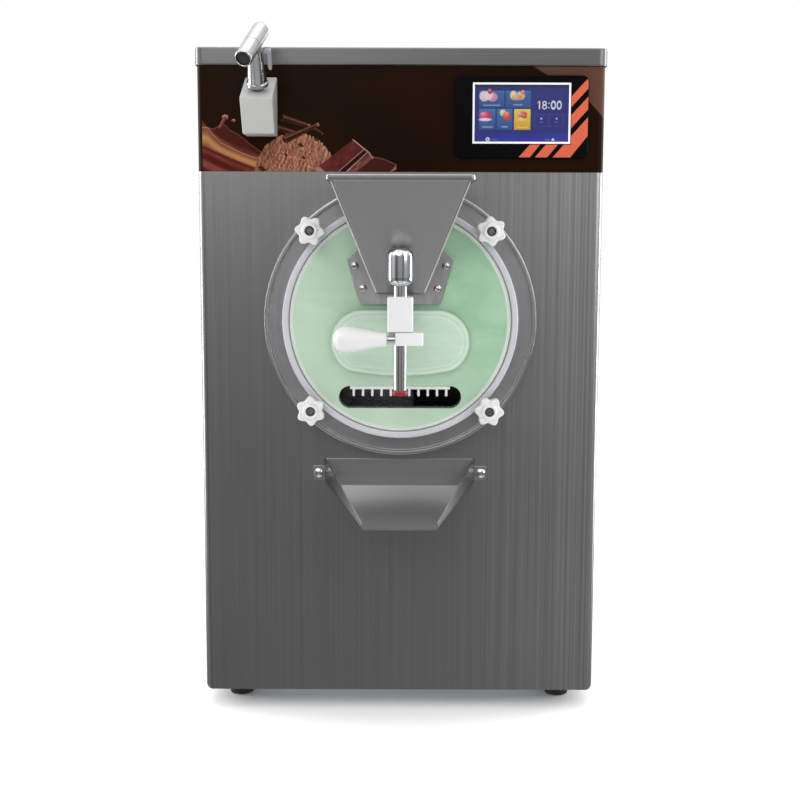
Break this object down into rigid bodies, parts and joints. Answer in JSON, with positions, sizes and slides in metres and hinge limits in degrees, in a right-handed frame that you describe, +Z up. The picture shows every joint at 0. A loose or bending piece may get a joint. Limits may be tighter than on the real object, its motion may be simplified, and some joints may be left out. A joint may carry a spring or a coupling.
{
  "type": "ice cream maker",
  "caption": "Countertop batch freezer with a steel cabinet, round front door, hopper, sliding outlet gate, touch display, chute and hand sprayer.",
  "frame": {"origin": "on the surface that the feet stand on, below the centre of the bounding box", "axes": "+Z up, +X to the right seen from the front, the front with the door faces -Y"},
  "size_m": [0.444, 0.685, 0.7528],
  "materials": {
    "cabinet_steel": "satin",
    "galvanised_steel": "matte",
    "foot_rubber": "matte",
    "fascia_film": "gloss",
    "bezel_black": "gloss",
    "screen_glass": "gloss",
    "food_steel": "satin",
    "copper_tube": "satin",
    "foam": "matte",
    "white_nylon": "satin",
    "silicone": "matte",
    "black_paint": "satin",
    "black_rubber": "matte",
    "motor_paint": "satin",
    "fin_pack": "satin",
    "fan_plastic": "satin",
    "door_polycarbonate": "gloss",
    "bright_chrome": "polished",
    "red_rubber": "satin",
    "trigger_grey": "satin",
    "hose_white": "satin",
    "rocker_red": "gloss",
    "brass": "satin"
  },
  "bodies": {
    "cabinet": {"front_panel": "cabinet_steel", "left_side_panel": "cabinet_steel", "right_side_panel": "cabinet_steel", "rear_panel": "cabinet_steel", "top_lid": "cabinet_steel", "base_pan": "galvanised_steel", "control_box": "galvanised_steel", "bearing_housing": "galvanised_steel", "drive_frame": "galvanised_steel", "fan_shroud": "galvanised_steel", "front_left_foot": "foot_rubber", "front_right_foot": "foot_rubber", "rear_left_foot": "foot_rubber", "rear_right_foot": "foot_rubber", "fascia_panel": "fascia_film", "display_bezel": "bezel_black", "display_screen": "screen_glass", "barrel": "food_steel", "barrel_flange": "food_steel", "drip_chute": "food_steel", "evaporator_coil": "copper_tube", "insulation_jacket": "foam", "spray_holder": "white_nylon", "compressor": "black_paint", "fan_motor": "black_paint", "drive_belt": "black_rubber", "drive_motor": "motor_paint", "condenser": "fin_pack", "power_inlet": "fan_plastic", "spray_hose": "hose_white", "water_inlet": "brass"},
    "door": {"door_disc": "door_polycarbonate", "door_rim": "white_nylon", "door_seal": "silicone", "outlet_comb": "white_nylon", "hopper_bracket": "food_steel", "hopper": "food_steel"},
    "gate": {"gate_plate": "door_polycarbonate", "gate_block": "white_nylon", "lift_rod": "bright_chrome", "lift_knob": "bright_chrome", "rod_ring": "red_rubber"},
    "lock_lever": {"lock_collar": "white_nylon", "lever_stud": "bright_chrome", "lever_grip": "white_nylon"},
    "beater": {"beater_frame": "food_steel", "scraper_blade_1": "white_nylon", "scraper_blade_2": "white_nylon", "scraper_blade_3": "white_nylon", "driven_pulley": "black_paint"},
    "motor_rotor": {"motor_pulley": "black_paint"},
    "fan": {"fan_blade": "fan_plastic"},
    "sprayer": {"spray_handle": "bright_chrome", "spray_head": "bright_chrome"},
    "trigger": {"spray_trigger": "trigger_grey"},
    "rocker": {"main_switch": "rocker_red"},
    "upper_left_knob": {"upper_left_knob": "white_nylon"},
    "upper_right_knob": {"upper_right_knob": "white_nylon"},
    "lower_left_knob": {"lower_left_knob": "white_nylon"},
    "lower_right_knob": {"lower_right_knob": "white_nylon"}
  },
  "joints": [
    {"name": "door_off", "type": "slide", "parent": "cabinet", "child": "door", "axis": [0, -1, 0], "range_m": [0, 0.15]},
    {"name": "gate_lift", "type": "slide", "parent": "door", "child": "gate", "axis": [0, 0, 1], "range_m": [-0.042, 0]},
    {"name": "lock_turn", "type": "hinge", "parent": "gate", "child": "lock_lever", "pos_m": [0, -0.3165, 0.429], "axis": [0, 0, 1], "range_deg": [0, 90]},
    {"name": "beater_spin", "type": "hinge", "parent": "cabinet", "child": "beater", "pos_m": [0, 0, 0.444], "axis": [0, 1, 0], "continuous": true},
    {"name": "motor_spin", "type": "hinge", "parent": "cabinet", "child": "motor_rotor", "pos_m": [0, 0.2, 0.6], "axis": [0, 1, 0], "continuous": true},
    {"name": "fan_spin", "type": "hinge", "parent": "cabinet", "child": "fan", "pos_m": [0, 0.244, 0.15], "axis": [0, 1, 0], "continuous": true},
    {"name": "sprayer_lift", "type": "slide", "parent": "cabinet", "child": "sprayer", "axis": [0, -0.5736, 0.8192], "range_m": [0, 0.04]},
    {"name": "trigger_press", "type": "hinge", "parent": "sprayer", "child": "trigger", "pos_m": [-0.139, -0.29188, 0.72281], "axis": [0, 0.8192, 0.5736], "range_deg": [0, 7], "stiffness_Nm_per_rad": 0.05, "springref_deg": -5.73},
    {"name": "rocker_switch", "type": "hinge", "parent": "cabinet", "child": "rocker", "pos_m": [0.15, 0.3255, 0.127], "axis": [1, 0, 0], "range_deg": [0, 16]},
    {"name": "upper_left_knob_turn", "type": "hinge", "parent": "door", "child": "upper_left_knob", "pos_m": [-0.09546, -0.2785, 0.53946], "axis": [0, -1, 0], "continuous": true},
    {"name": "upper_right_knob_turn", "type": "hinge", "parent": "door", "child": "upper_right_knob", "pos_m": [0.09546, -0.2785, 0.53946], "axis": [0, -1, 0], "continuous": true},
    {"name": "lower_left_knob_turn", "type": "hinge", "parent": "door", "child": "lower_left_knob", "pos_m": [-0.09546, -0.2785, 0.34854], "axis": [0, -1, 0], "continuous": true},
    {"name": "lower_right_knob_turn", "type": "hinge", "parent": "door", "child": "lower_right_knob", "pos_m": [0.09546, -0.2785, 0.34854], "axis": [0, -1, 0], "continuous": true}
  ],
  "couplings": [
    {"joint": "motor_spin", "follows": "beater_spin", "ratio": 3.0833}
  ]
}
